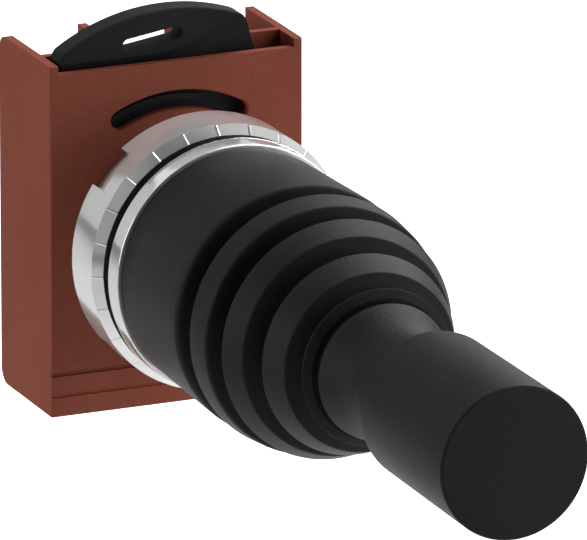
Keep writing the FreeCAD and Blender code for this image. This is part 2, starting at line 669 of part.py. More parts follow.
def stick_pin():
    """Pin along Z through ring and hub, on which the stick swings left and right."""
    half = RING_OUT_R - 0.2
    return Part.makeCylinder(CROSS_PIN_R, 2 * half, V(0, PIVOT_Y, -half), V(0, 0, 1))


def stick_shaft():
    """Steel stick: threaded front end, shoulder, ball hub at the cross joint and turned tail."""
    tail_end = SWASH_Y + SWASH_T + CLIP_T + 0.6
    body = turned([
        (0, THREAD_END_Y),
        (THREAD_R, THREAD_END_Y, 0.4),
        (THREAD_R, SHOULDER_Y),
        (SHAFT_R, SHOULDER_Y, TURNED_EDGE_R),
        (SHAFT_R, PIVOT_Y),
        (0, PIVOT_Y),
    ])
    body = body.fuse(Part.makeSphere(HUB_R, V(0, PIVOT_Y, 0)))
    body = body.fuse(rod(SHAFT_R, PIVOT_Y, SWASH_Y))
    body = body.fuse(rod(TAIL_R, PIVOT_Y, tail_end))
    return body.cut(
        Part.makeCylinder(CROSS_PIN_R + RUN_GAP, 4 * HUB_R, V(0, PIVOT_Y, -2 * HUB_R), V(0, 0, 1))
    )


def swash_plate():
    """Disc on the stick's tail that pushes the plungers."""
    return turned([
        (TAIL_R + PRESS_GAP, SWASH_Y),
        (SWASH_R - 1.2, SWASH_Y),
        (SWASH_R, SWASH_Y + 0.5, TURNED_EDGE_R),
        (SWASH_R, SWASH_Y + SWASH_T, 0.2),
        (TAIL_R + PRESS_GAP, SWASH_Y + SWASH_T),
    ])


def swash_clip():
    """Spring clip behind the swash plate, open at the bottom."""
    y = SWASH_Y + SWASH_T
    ring = tube(CLIP_R, TAIL_R + PRESS_GAP, y, y + CLIP_T)
    return ring.cut(block(-0.7, 0.7, y - 1, y + 1, -CLIP_R - 1, 0))


def lock_nut():
    """Hexagon nut on the stick's shoulder, inside the boot."""
    radius = NUT_AF / 2 / math.cos(math.radians(30))
    corners = [polar(radius, 60 * k) for k in range(6)]
    body = plate(corners, SHOULDER_Y - NUT_T, SHOULDER_Y)
    return body.cut(rod(THREAD_R + PRESS_GAP, SHOULDER_Y - NUT_T, SHOULDER_Y))


def boot_washer():
    """Washer between lock nut and the boot's crown."""
    back = SHOULDER_Y - NUT_T
    return tube(WASHER_R, THREAD_R + SLIDE_GAP, back - WASHER_T, back)


def grip():
    """Hand grip: trumpet base, waist, round shoulder and a long flat-ended barrel."""

    def at(r, y):
        return V(r, y, 0)

    bore_end = THREAD_END_Y - BORE_END_GAP
    curve_y = GRIP_BASE_Y - GRIP_RIM_T
    waist_y = GRIP_BASE_Y - GRIP_WAIST_LENGTH
    shoulder_y = waist_y - GRIP_SHOULDER_LENGTH
    flare = GRIP_BASE_R - GRIP_WAIST_R
    swell = GRIP_SHOULDER_R - GRIP_WAIST_R
    points = [at(GRIP_BASE_R, curve_y)]
    # part of the way from rim to waist, and part of the flare that is left there
    for way, left in ((0.18, 0.756), (0.57, 0.235)):
        points.append(at(GRIP_WAIST_R + left * flare, curve_y + way * (waist_y - curve_y)))
    points.append(at(GRIP_WAIST_R, waist_y))
    # part of the way from waist to shoulder, and part of the swell reached there
    for way, gained in ((0.39, 0.21), (0.69, 0.665)):
        points.append(at(GRIP_WAIST_R + gained * swell, waist_y + way * (shoulder_y - waist_y)))
    points.append(at(GRIP_SHOULDER_R, shoulder_y))
    curve = Part.BSplineCurve()
    curve.interpolate(points, InitialTangent=V(-0.3, -1, 0), FinalTangent=V(0.1, -1, 0))
    base = Part.LineSegment(at(INSERT_R, GRIP_BASE_Y), at(GRIP_BASE_R, GRIP_BASE_Y)).toShape()
    rim = Part.LineSegment(at(GRIP_BASE_R, GRIP_BASE_Y), at(GRIP_BASE_R, curve_y)).toShape()
    edge_y = GRIP_END_Y + GRIP_END_FILLET
    edge_r = GRIP_END_R - GRIP_END_FILLET
    barrel = Part.LineSegment(at(GRIP_SHOULDER_R, shoulder_y), at(GRIP_END_R, edge_y)).toShape()
    diagonal = GRIP_END_FILLET * math.sqrt(0.5)
    half_way = at(edge_r + diagonal, edge_y - diagonal)
    edge = Part.Arc(at(GRIP_END_R, edge_y), half_way, at(edge_r, GRIP_END_Y)).toShape()
    rest = Part.makePolygon([
        at(edge_r, GRIP_END_Y),
        at(0, GRIP_END_Y),
        at(0, bore_end),
        at(INSERT_R, bore_end),
        at(INSERT_R, GRIP_BASE_Y),
    ])
    wire = Part.Wire([base, rim, curve.toShape(), barrel, edge] + rest.Edges)
    return Part.Face(wire).revolve(ORIGIN, AXIS, 360)


def grip_insert():
    """Knurled brass bush moulded into the grip, screwed on the stick."""
    front = THREAD_END_Y - BORE_END_GAP + SEAT_GAP
    body = rod(INSERT_R - PRESS_GAP, front, GRIP_BASE_Y)
    return body.cut(rod(THREAD_R + PRESS_GAP, THREAD_END_Y - SLIDE_GAP, GRIP_BASE_Y))


def plunger_guide():
    """Disc at the neck's rear with four stem holes and spring pockets."""
    back = GUIDE_FRONT_Y + GUIDE_LENGTH
    body = turned([
        (0, GUIDE_FRONT_Y + SEAT_GAP),
        (NECK_BORE_R - PRESS_GAP, GUIDE_FRONT_Y + SEAT_GAP),
        (NECK_BORE_R - PRESS_GAP, back, TURNED_EDGE_R),
        (0, back),
    ])
    for x, z in plunger_places().values():
        body = body.cut(rod(PLUNGER_STEM_R + SLIDE_GAP, GUIDE_FRONT_Y - 1, back + 1, x, z))
        body = body.cut(rod(PLUNGER_HEAD_R + 2 * SLIDE_GAP, GUIDE_FRONT_Y - 1, SPRING_BACK_Y, x, z))
    return body


def plunger_places():
    r = PLUNGER_PITCH_R
    return {"top": (0, r), "bottom": (0, -r), "left": (-r, 0), "right": (r, 0)}


def plunger(x, z):
    """Domed head under the swash plate and a thin stem out through the guide."""
    r = PLUNGER_HEAD_R
    body = rod(r, HEAD_CENTRE_Y, SPRING_FRONT_Y, x, z)
    dome = Part.makeSphere(r, V(x, HEAD_CENTRE_Y, z))
    dome = dome.common(rod(r + 1, HEAD_CENTRE_Y - r - 1, HEAD_CENTRE_Y, x, z))
    stem = rod(PLUNGER_STEM_R, SPRING_FRONT_Y, PLUNGER_TIP_Y, x, z)
    return body.fuse(dome).fuse(stem).removeSplitter()


def plunger_spring(x, z):
    """Return spring, drawn as the sleeve that its coils fill."""
    front = SPRING_FRONT_Y + SEAT_GAP
    back = SPRING_BACK_Y - SEAT_GAP
    sleeve = rod(SPRING_R, front, back, x, z)
    return sleeve.cut(rod(SPRING_R - SPRING_WIRE, front, back, x, z))


def build():
    parts = {
        "bezel_barrel": bezel_barrel(),
        "gasket": gasket(),
        "panel_nut": panel_nut(),
        "adapter_housing": adapter_housing(),
        "lock_lever": lock_lever(),
        "boot": boot(),
        "gate_plate": gate_plate(),
        "gimbal_ring": gimbal_ring(),
        "trunnion_pin_right": trunnion_pin(1),
        "trunnion_pin_left": trunnion_pin(-1),
        "stick_pin": stick_pin(),
        "stick_shaft": stick_shaft(),
        "swash_plate": swash_plate(),
        "swash_clip": swash_clip(),
        "lock_nut": lock_nut(),
        "boot_washer": boot_washer(),
        "grip": grip(),
        "grip_insert": grip_insert(),
        "plunger_guide": plunger_guide(),
    }
    for name, (x, z) in plunger_places().items():
        parts["plunger_" + name] = plunger(x, z)
        parts["spring_" + name] = plunger_spring(x, z)
    return parts


os.makedirs("parts", exist_ok=True)
for name, shape in build().items():
    if len(shape.Solids) == 1 and shape.ShapeType != "Solid":
        shape = shape.Solids[0]
    shape.exportStep("parts/" + name + ".step")
    print(name, shape.isValid(), len(shape.Solids), round(shape.Volume, 1))
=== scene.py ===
# %% [markdown]
# # An industrial joystick in a rubber boot
# The joystick sits in a round hole of a control panel. In front of the panel are the black hand grip, a
# ribbed rubber boot and a polished bezel. Behind it are a bright ring nut and a red-brown adapter with a
# black lever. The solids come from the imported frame, in metres, with the joystick's axis on Y and the grip
# towards -Y. Most of the hidden ones are right as they are and only get a finish. The visible ones and the
# springs get a copy with finer edges, or are made again.

# %% Load the frame
import json
import math

import bmesh
import bpy
from mathutils import Matrix, Vector
from mathutils.geometry import interpolate_bezier


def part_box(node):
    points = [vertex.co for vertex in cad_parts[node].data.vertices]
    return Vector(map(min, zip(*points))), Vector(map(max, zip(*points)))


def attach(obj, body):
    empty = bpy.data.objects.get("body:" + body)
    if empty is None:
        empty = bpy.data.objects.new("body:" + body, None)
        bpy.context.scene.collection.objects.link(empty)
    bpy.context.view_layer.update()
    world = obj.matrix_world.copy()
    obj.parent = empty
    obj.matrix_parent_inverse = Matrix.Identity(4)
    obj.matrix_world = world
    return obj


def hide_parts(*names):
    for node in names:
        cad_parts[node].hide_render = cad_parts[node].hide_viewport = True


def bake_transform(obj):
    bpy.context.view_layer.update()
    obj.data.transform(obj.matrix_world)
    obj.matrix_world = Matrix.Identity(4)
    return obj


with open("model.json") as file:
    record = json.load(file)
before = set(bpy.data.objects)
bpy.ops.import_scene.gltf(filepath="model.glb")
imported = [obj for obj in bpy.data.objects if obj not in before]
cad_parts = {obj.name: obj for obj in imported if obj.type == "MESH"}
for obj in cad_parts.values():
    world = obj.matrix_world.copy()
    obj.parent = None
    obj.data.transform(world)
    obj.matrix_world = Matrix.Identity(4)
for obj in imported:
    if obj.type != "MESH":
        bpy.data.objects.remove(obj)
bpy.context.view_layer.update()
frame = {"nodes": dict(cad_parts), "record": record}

MM = 0.001

# %% [markdown]
# ## Node maths as plain expressions
# A finish is a sum of small patterns: grain, clouds, turned lines. Written as nodes one by one they are hard
# to read, so the class below wraps a socket, and each operator on it adds one Math node. That lets a finish
# say `0.4 + 0.1 * grain`, the way a painter would say "a bit rougher where the grain is high". The same nodes
# exist in Geometry Nodes, so a shape can say `turns * pitch` too.


# %% A socket that can be added, subtracted, multiplied and divided
class Field:
    """A value that changes over the surface."""

    def __init__(self, graph, socket):
        self.graph = graph
        self.socket = socket

    def _math(self, operation, first, second):
        return self.graph.node("ShaderNodeMath", {"operation": operation}, {0: first, 1: second})

    def __add__(self, other):
        return self._math("ADD", self, other)

    def __radd__(self, other):
        return self._math("ADD", other, self)

    def __sub__(self, other):
        return self._math("SUBTRACT", self, other)

    def __rsub__(self, other):
        return self._math("SUBTRACT", other, self)

    def __mul__(self, other):
        return self._math("MULTIPLY", self, other)

    def __rmul__(self, other):
        return self._math("MULTIPLY", other, self)

    def __truediv__(self, other):
        return self._math("DIVIDE", self, other)


print("fields can be added, subtracted, multiplied and divided")


# %% A graph of nodes, for finishes and for shapes
class Graph:
    """A node tree with one way to add any node: its type, its settings, then what goes into its sockets."""

    def __init__(self, tree):
        self.tree = tree

    def feed(self, socket, value):
        """Link a field into the socket, or write a plain value there."""
        if isinstance(value, Field):
            self.tree.links.new(value.socket, socket)
        else:
            socket.default_value = value

    def node(self, kind, settings=None, inputs=None, output=0):
        """New node; one of its outputs comes back as a field."""
        made = self.tree.nodes.new(kind)
        for key, value in (settings or {}).items():
            setattr(made, key, value)
        for key, value in (inputs or {}).items():
            self.feed(made.inputs[key], value)
        return Field(self, made.outputs[output])


print("graph ready")

# %% [markdown]
# ## What every finish needs
# A finish is one material with one principled shader, fed by the same few nodes: noise, a blend of two
# colours, a ramp and a bump. They all start from object coordinates, which are metres on the piece. So a
# grain can be given in millimetres, and it is the same on a small piece as on a large one.


# %% A finish: one material with one principled shader
class Finish(Graph):
    """A material, with short ways to the nodes that every finish here needs."""

    def __init__(self, name):
        self.material = bpy.data.materials.new(name)
        self.material.use_nodes = True
        super().__init__(self.material.node_tree)
        self.shader = self.tree.nodes["Principled BSDF"]
        self.place = self.node("ShaderNodeTexCoord", output="Object")

    def noise(self, per_mm, detail=2.0, roughness=0.5, vector=None):
        """Fractal noise with that many features per millimetre."""
        return self.node(
            "ShaderNodeTexNoise",
            {},
            {"Vector": vector or self.place, "Scale": per_mm / MM, "Detail": detail, "Roughness": roughness},
        )

    def stretched(self, x, y, z):
        """Object coordinates, scaled unevenly."""
        return self.node("ShaderNodeVectorMath", {"operation": "MULTIPLY"}, {0: self.place, 1: (x, y, z)})

    def along(self, axis):
        """Place along one axis, in metres."""
        return self.node("ShaderNodeSeparateXYZ", {}, {0: self.place}, output=axis)

    def blend(self, factor, dark, light):
        """Colour between two by a factor."""
        return self.node(
            "ShaderNodeMix",
            {"data_type": "RGBA"},
            {"Factor": factor, 6: (*dark, 1.0), 7: (*light, 1.0)},
            output=2,
        )

    def ramp(self, factor, low, high):
        """0 below low, 1 above high, straight between."""
        return self.node("ShaderNodeMapRange", {}, {"Value": factor, "From Min": low, "From Max": high})

    def bump(self, height, depth_mm, strength=1.0):
        """Relief that exists only in the shading; a height of 1 stands that many millimetres up."""
        made = self.node(
            "ShaderNodeBump", {}, {"Height": height, "Distance": depth_mm * MM, "Strength": strength}
        )
        self.feed(self.shader.inputs["Normal"], made)

    def set(self, **inputs):
        """Fields into the shader's sockets, by name, with _ for a space."""
        for key, value in inputs.items():
            self.feed(self.shader.inputs[key.replace("_", " ")], value)


print("finish helpers ready")

# %% [markdown]
# ## Black mouldings
# The boot and the gasket are rubber, the grip and the lever are hard plastic, and all four left a mould with
# the same fine spark-eroded grain. It is too fine to model, so a bump from two noises makes it: one of about
# a sixth of a millimetre, one three times coarser that breaks up the highlights. Broad clouds change colour
# and gloss a little, because no moulding is even. The parts differ in how black and how glossy they are, and
# the gasket's near-black is painted shade, for the shadow in the gap under the bezel's rim.

# %% Rubber and black plastic
MOULD_DETAIL = 3.0
MOULD_GRAIN_DEPTH_MM = 0.07
MOULD_GRAIN_STRENGTH = 0.8
MOULD_GRAIN_GLOSS = 0.10
MOULD_COARSE_SHARE = 0.3
MOULD_COARSE_SCALE = 0.35
MOULD_CLOUDS_PER_MM = 0.12
MOULD_CLOUD_SHARE = 0.3


def black_moulding(name, dark, light, roughness, specular, grain_mm, cloud_gloss):
    """Black rubber or plastic with the grain of its mould."""
    finish = Finish(name)
    grain = finish.noise(1.0 / grain_mm, detail=MOULD_DETAIL, roughness=0.6)
    cloud = finish.noise(MOULD_CLOUDS_PER_MM, detail=2.0)
    tone = grain * (1.0 - MOULD_CLOUD_SHARE) + cloud * MOULD_CLOUD_SHARE
    finish.set(Base_Color=finish.blend(finish.ramp(tone, low=0.35, high=0.65), dark, light))
    finish.set(Roughness=roughness + cloud_gloss * (cloud - 0.5) + MOULD_GRAIN_GLOSS * (grain - 0.5))
    finish.shader.inputs["Specular IOR Level"].default_value = specular
    coarse = finish.noise(MOULD_COARSE_SCALE / grain_mm)
    finish.bump(grain + MOULD_COARSE_SHARE * coarse, MOULD_GRAIN_DEPTH_MM, MOULD_GRAIN_STRENGTH)
    return finish.material


boot_rubber = black_moulding(
    "boot_rubber",
    dark=(0.009, 0.009, 0.0091),
    light=(0.020, 0.020, 0.0204),
    roughness=0.42,
    specular=0.09,
    grain_mm=0.16,
    cloud_gloss=0.08,
)
grip_plastic = black_moulding(
    "grip_plastic",
    dark=(0.012, 0.012, 0.0122),
    light=(0.025, 0.025, 0.0255),
    roughness=0.40,
    specular=0.07,
    grain_mm=0.18,
    cloud_gloss=0.08,
)
lever_plastic = black_moulding(
    "lever_plastic",
    dark=(0.015, 0.015, 0.0152),
    light=(0.032, 0.032, 0.0325),
    roughness=0.45,
    specular=0.03,
    grain_mm=0.14,
    cloud_gloss=0.06,
)
# Painted shade: the gasket's near-black colour stands for the shadow in the gap under the bezel's rim.
gasket_rubber = black_moulding(
    "gasket_rubber",
    dark=(0.001, 0.001, 0.001),
    light=(0.002, 0.002, 0.002),
    roughness=0.7,
    specular=0.03,
    grain_mm=0.2,
    cloud_gloss=0.05,
)
print("black mouldings ready")

# %% [markdown]
# ## Red-brown adapter plastic
# The adapter is glass-filled plastic in a red brown. Close up it is speckled, slightly darker in its pits,
# and its sheen is broad and weak. A noise finer than the walls are thick gives speckle, gloss and pits
# together, so a dark speck is also a small pit. That is what makes it read as filled plastic, not as paint.

# %% Adapter plastic
SPECKLES_PER_MM = 6.0
SPECKLE_DEPTH_MM = 0.02
SPECKLE_GLOSS = 0.12
ADAPTER_CLOUDS_PER_MM = 0.08
ADAPTER_CLOUD_SHARE = 0.25
ADAPTER_ROUGHNESS = 0.52
ADAPTER_SPECULAR = 0.02
ADAPTER_DARK = (0.230, 0.064, 0.040)
ADAPTER_LIGHT = (0.320, 0.096, 0.063)


def adapter_plastic():
    """Speckled red-brown plastic with a weak sheen."""
    finish = Finish("housing_plastic")
    grain = finish.noise(SPECKLES_PER_MM, detail=3.0, roughness=0.65)
    cloud = finish.noise(ADAPTER_CLOUDS_PER_MM, detail=2.0)
    tone = grain * (1.0 - ADAPTER_CLOUD_SHARE) + cloud * ADAPTER_CLOUD_SHARE
    tone = finish.ramp(tone, low=0.36, high=0.66)
    finish.set(Base_Color=finish.blend(tone, ADAPTER_DARK, ADAPTER_LIGHT))
    finish.set(Roughness=ADAPTER_ROUGHNESS + SPECKLE_GLOSS * (grain - 0.5))
    finish.shader.inputs["Specular IOR Level"].default_value = ADAPTER_SPECULAR
    finish.bump(grain, SPECKLE_DEPTH_MM, strength=0.3)
    return finish.material


housing_plastic = adapter_plastic()
print("adapter plastic ready")

# %% [markdown]
# ## The ratchet steps of the ring nut
# The front cone of the nut carries 24 low ratchet steps. Each step is a form of the solid, about 0.2 mm
# high, but the rounded edge along it is far finer, and only its glint is seen. So the finish adds that edge:
# the angle round the axis, divided by the pitch, is a whole number at each step, and a narrow ridge in the
# bump stands there. It has to start at the solid's own first step, or the glint would miss the form.

# %% Rounded edge of each step
NUT_TEETH = 24
FIRST_STEP_DEG = 1.6
CONE_R_MM = 14.6
CONE_LENGTH_MM = 1.02
STEP_HALF_WIDTH_MM = 0.16


def tooth_steps(finish):
    """1 along the step of each ratchet tooth on the nut's front cone, 0 elsewhere."""
    turn = finish.node(
        "ShaderNodeMath", {"operation": "ARCTAN2"}, {0: finish.along("Z"), 1: finish.along("X")}
    )
    pitch = 2 * math.pi / NUT_TEETH
    teeth = (turn - math.radians(FIRST_STEP_DEG)) / pitch
    part = finish.node("ShaderNodeMath", {"operation": "FRACT"}, {0: teeth})
    to_step = finish.node("ShaderNodeMath", {"operation": "MINIMUM"}, {0: part, 1: 1 - part})
    ridge = finish.node(
        "ShaderNodeMapRange",
        {"interpolation_type": "SMOOTHSTEP"},
        {"Value": to_step, "From Min": STEP_HALF_WIDTH_MM / (pitch * CONE_R_MM), "From Max": 0.0},
    )
    on_cone = finish.node(
        "ShaderNodeMath", {"operation": "LESS_THAN"}, {0: finish.along("Y"), 1: CONE_LENGTH_MM * MM}
    )
    return ridge * on_cone


print("rounded edges for", NUT_TEETH, "steps")

# %% [markdown]
# ## Plated metal
# Bezel and nut are die-cast zinc with bright plating, the nut a little hazier than the bezel. Haze is white
# light scattered by the plating, so Metallic stands between a white paint and a mirror. Steel and brass
# inside are plain turned metal. All were turned, so a noise that is long round the axis and short along it
# draws very fine lines, strong enough only to stretch the highlights.

# %% Plated zinc, steel and brass
METAL_CLOUDS_PER_MM = 0.3
METAL_CLOUD_GLOSS = 0.12
METAL_LINE_GLOSS = 0.05
LINE_STRETCH = 0.05


def plated(name, dark, light, metallic, roughness, lines_mm, depth_mm, step_mm=0.0):
    """Turned metal; the heights of its lines and steps are in millimetres."""
    finish = Finish(name)
    long_way = finish.stretched(LINE_STRETCH, 1.0, LINE_STRETCH)
    lines = finish.noise(1.0 / lines_mm, detail=2.0, vector=long_way)
    cloud = finish.noise(METAL_CLOUDS_PER_MM, detail=3.0)
    finish.set(Base_Color=finish.blend(finish.ramp(cloud, low=0.3, high=0.7), dark, light))
    finish.set(Roughness=roughness + METAL_CLOUD_GLOSS * (cloud - 0.5) + METAL_LINE_GLOSS * (lines - 0.5))
    finish.shader.inputs["Metallic"].default_value = metallic
    height = lines * depth_mm
    if step_mm:
        height = height + step_mm * tooth_steps(finish)
    finish.bump(height, depth_mm=1.0)
    return finish.material


bezel_metal = plated(
    "bezel_metal",
    dark=(0.80, 0.80, 0.79),
    light=(0.86, 0.86, 0.85),
    metallic=0.62,
    roughness=0.1,
    lines_mm=0.06,
    depth_mm=0.001,
)
nut_metal = plated(
    "nut_metal",
    dark=(0.80, 0.80, 0.79),
    light=(0.88, 0.88, 0.87),
    metallic=0.60,
    roughness=0.14,
    lines_mm=0.08,
    depth_mm=0.001,
    step_mm=0.06,
)
steel = plated(
    "steel",
    dark=(0.42, 0.42, 0.43),
    light=(0.52, 0.52, 0.53),
    metallic=1.0,
    roughness=0.32,
    lines_mm=0.1,
    depth_mm=0.002,
)
brass = plated(
    "brass",
    dark=(0.60, 0.42, 0.16),
    light=(0.70, 0.50, 0.22),
    metallic=1.0,
    roughness=0.3,
    lines_mm=0.1,
    depth_mm=0.002,
)
print("metals ready")

# %% [markdown]
# ## Natural plastic
# The guide and the four plungers inside the neck are uncoloured bearing plastic, cream and waxy. They show
# only when the joystick is opened, so a faint grain in colour, gloss and height is enough.

# %% Plastic of the inner guide and plungers
GUIDE_GRAIN_PER_MM = 4.0
GUIDE_ROUGHNESS = 0.42
GUIDE_GRAIN_GLOSS = 0.1


def natural_plastic():
    """Cream plastic with a faint grain."""
    finish = Finish("guide_plastic")
    grain = finish.noise(GUIDE_GRAIN_PER_MM, detail=3.0)
    finish.set(Base_Color=finish.blend(grain, dark=(0.42, 0.41, 0.37), light=(0.52, 0.51, 0.47)))
    finish.set(Roughness=GUIDE_ROUGHNESS + GUIDE_GRAIN_GLOSS * (grain - 0.5))
    finish.bump(grain, depth_mm=0.01, strength=0.4)
    return finish.material


guide_plastic = natural_plastic()

FINISHES = {
    "bezel_metal": bezel_metal,
    "nut_metal": nut_metal,
    "boot_rubber": boot_rubber,
    "gasket_rubber": gasket_rubber,
    "grip_plastic": grip_plastic,
    "lever_plastic": lever_plastic,
    "housing_plastic": housing_plastic,
    "guide_plastic": guide_plastic,
    "steel": steel,
    "spring_steel": steel,
    "brass": brass,
}
print("finishes:", ", ".join(FINISHES))

# %% [markdown]
# ## The solids take their finishes
# Each solid keeps the material slot that its record names, so one loop dresses them all. The visible ones
# and the springs are replaced further down.

# %% Dress the solids
slot_of = {part["node"]: part["material_slot"] for part in frame["record"]["subparts"]}
body_of = {node: body for body, nodes in frame["record"]["behaviour"]["bodies"].items() for node in nodes}
for name, solid in frame["nodes"].items():
    solid.data.materials.clear()
    solid.data.materials.append(FINISHES[slot_of[name]])
print("dressed", len(frame["nodes"]), "solids")

# %% [markdown]
# ## Cleaner copies of the visible solids
# A solid arrives as loose triangles, each flat, with knife edges that catch no light. No real moulding or
# casting has such edges. The solid's own mesh stays as it is, and a copy is worked on: doubles are merged,
# flat facets joined, curved faces shaded smooth, and a narrow bevel runs along the sharp edges. Bezel and
# gasket keep their edges, because the bezel's roundings are in the solid and the gasket is thin and flat.

# %% A softened copy of a solid
SAME_PLACE_MM = 0.002
SAME_PLANE_DEG = 0.4
SHARP_DEG = 30.0


def softened(node, piece_name, edge_mm, segments=3):
    """Copy of a solid with its facets joined, smooth faces and rounded edges; it stands for the node."""
    mesh = frame["nodes"][node].data.copy()
    piece = bpy.data.objects.new(piece_name, mesh)
    bpy.context.scene.collection.objects.link(piece)
    form = bmesh.new()
    form.from_mesh(mesh)
    bmesh.ops.remove_doubles(form, verts=form.verts, dist=SAME_PLACE_MM * MM)
    bmesh.ops.dissolve_limit(
        form,
        angle_limit=math.radians(SAME_PLANE_DEG),
        verts=form.verts,
        edges=form.edges,
        delimit={"NORMAL"},
    )
    for edge in form.edges:
        edge.smooth = len(edge.link_faces) == 2 and edge.calc_face_angle(0.0) < math.radians(SHARP_DEG)
    for face in form.faces:
        face.smooth = True
    form.to_mesh(mesh)
    form.free()
    if edge_mm > 0:
        bevel = piece.modifiers.new("edges", "BEVEL")
        bevel.width = edge_mm * MM
        bevel.segments = segments
        bevel.limit_method = "ANGLE"
        bevel.angle_limit = math.radians(SHARP_DEG)
        bevel.harden_normals = True
        bevel.use_clamp_overlap = True
        bpy.context.view_layer.update()
        final = bpy.data.meshes.new_from_object(piece.evaluated_get(bpy.context.evaluated_depsgraph_get()))
        piece.modifiers.clear()
        piece.data = final
    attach(piece, body_of[node])
    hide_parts(node)
    print(piece_name, "from", node, len(piece.data.polygons), "faces")


# %% Soft-edged copies of the visible rigid pieces
softened("adapter_housing", "adapter", edge_mm=0.15)
softened("panel_nut", "ring_nut", edge_mm=0.05, segments=2)
softened("bezel_barrel", "bezel", edge_mm=0.0)
softened("gasket", "panel_gasket", edge_mm=0.0)
softened("lock_lever", "lever", edge_mm=0.15)

# %% [markdown]
# ## Shapes that follow a rule
# A turned piece is a profile and a circle, and a spring or a thread is a wire and a helix. Geometry Nodes
# state such a rule once, with its sizes as named inputs, and every piece that obeys it is one use of the
# tree. The result becomes a plain mesh, because the pieces must bend and slide with the joystick.


# %% A geometry tree with named sizes
class Shape(Graph):
    """A geometry tree. Each size is (socket type, start value); the finish is an input too."""

    def __init__(self, name, sizes):
        tree = bpy.data.node_groups.new(name, "GeometryNodeTree")
        tree.is_modifier = True
        super().__init__(tree)
        tree.interface.new_socket(name="Geometry", in_out="OUTPUT", socket_type="NodeSocketGeometry")
        tree.interface.new_socket(name="Geometry", in_out="INPUT", socket_type="NodeSocketGeometry")
        for size, (kind, start) in sizes.items():
            socket = tree.interface.new_socket(name=size, in_out="INPUT", socket_type=kind)
            socket.default_value = start
        tree.interface.new_socket(name="Finish", in_out="INPUT", socket_type="NodeSocketMaterial")
        self.given = tree.nodes.new("NodeGroupInput")

    def size(self, name):
        """One of the named inputs, as a field."""
        return Field(self, self.given.outputs[name])

    def end(self, geometry):
        """Real geometry, its finish, and out."""
        whole = self.node("GeometryNodeRealizeInstances", {}, {"Geometry": geometry})
        dressed = self.node(
            "GeometryNodeSetMaterial", {}, {"Geometry": whole, "Material": self.size("Finish")}
        )
        self.feed(self.tree.nodes.new("NodeGroupOutput").inputs[0], dressed)

    def make(self, name, start_mesh=None, **sizes):
        """Piece with these sizes, as a plain mesh with its faces outwards."""
        piece = bpy.data.objects.new(name, start_mesh or bpy.data.meshes.new(name))
        bpy.context.scene.collection.objects.link(piece)
        rule = piece.modifiers.new("rule", "NODES")
        rule.node_group = self.tree
        for socket in self.tree.interface.items_tree:
            key = socket.name.replace(" ", "_")
            if socket.in_out == "INPUT" and key in sizes:
                rule[socket.identifier] = sizes[key]
        bpy.context.view_layer.update()
        mesh = bpy.data.meshes.new_from_object(piece.evaluated_get(bpy.context.evaluated_depsgraph_get()))
        piece.modifiers.clear()
        piece.data = mesh
        form = bmesh.new()
        form.from_mesh(mesh)
        bmesh.ops.delete(form, geom=[edge for edge in form.edges if edge.is_wire], context="EDGES")
        bmesh.ops.recalc_face_normals(form, faces=form.faces)
        open_edges = sum(not edge.is_manifold for edge in form.edges)
        form.to_mesh(mesh)
        form.free()
        print(name, len(mesh.polygons), "faces,", open_edges, "open edges")
        return piece


print("shape trees ready")

# %% [markdown]
# ### Turned pieces
# The profile is a closed line, and each corner's rounding rides on its point as an attribute. Curve to Mesh
# carries the rounded line along a circle. A circle of radius 0 has no direction, so the circle is a small
# hub, and the profile starts one hub's radius further in. A last merge closes the poles, where all the
# copies of a point on the axis meet.

# %% The rule of a turned piece
HUB = 1.0 * MM
POLE_MERGE_MM = 0.001
CREASE_DEG = 35


def turned_rule():
    """A closed profile in the X-Y plane has its corners rounded and is carried round the Y axis."""
    shape = Shape("turned_piece", {"Around": ("NodeSocketInt", 192), "Corner Steps": ("NodeSocketInt", 6)})
    profile = shape.node("GeometryNodeMeshToCurve", {}, {"Mesh": shape.size("Geometry")})
    radius = shape.node("GeometryNodeInputNamedAttribute", {"data_type": "FLOAT"}, {"Name": "corner_radius"})
    profile = shape.node(
        "GeometryNodeFilletCurve",
        {"mode": "POLY"},
        {"Curve": profile, "Count": shape.size("Corner Steps"), "Radius": radius},
    )
    profile = shape.node("GeometryNodeTransform", {}, {"Geometry": profile, "Translation": (-HUB, 0, 0)})
    path = shape.node(
        "GeometryNodeCurvePrimitiveCircle", {}, {"Resolution": shape.size("Around"), "Radius": HUB}
    )
    skin = shape.node("GeometryNodeCurveToMesh", {}, {"Curve": path, "Profile Curve": profile})
    skin = shape.node(
        "GeometryNodeTransform", {}, {"Geometry": skin, "Rotation": (math.radians(90), 0, 0)}
    )
    skin = shape.node(
        "GeometryNodeMergeByDistance", {}, {"Geometry": skin, "Distance": POLE_MERGE_MM * MM}
    )
    bend = shape.node("GeometryNodeInputMeshEdgeAngle", {})
    sharp = shape.node(
        "FunctionNodeCompare", {"operation": "GREATER_THAN"}, {0: bend, 1: math.radians(CREASE_DEG)}
    )
    smooth_faces = shape.node(
        "GeometryNodeSetShadeSmooth", {"domain": "FACE"}, {"Geometry": skin, "Shade Smooth": True}
    )
    soft = shape.node("FunctionNodeBooleanMath", {"operation": "NOT"}, {0: sharp})
    smooth_edges = shape.node(
        "GeometryNodeSetShadeSmooth", {"domain": "EDGE"}, {"Geometry": smooth_faces, "Shade Smooth": soft}
    )
    shape.end(smooth_edges)
    return shape


turned_piece = turned_rule()
print("turned pieces have", len(turned_piece.tree.nodes), "nodes")


# %% The closed line that a turned piece starts from
def profile_mesh(name, corners):
    """Closed line through (r, y) or (r, y, corner radius) in millimetres."""
    mesh = bpy.data.meshes.new(name)
    count = len(corners)
    places = [(corner[0] * MM, corner[1] * MM, 0) for corner in corners]
    mesh.from_pydata(places, [(i, (i + 1) % count) for i in range(count)], [])
    radii = mesh.attributes.new("corner_radius", "FLOAT", "POINT")
    for i, corner in enumerate(corners):
        radii.data[i].value = (corner[2] if len(corner) > 2 else 0.0) * MM
    return mesh


print("profiles ready")

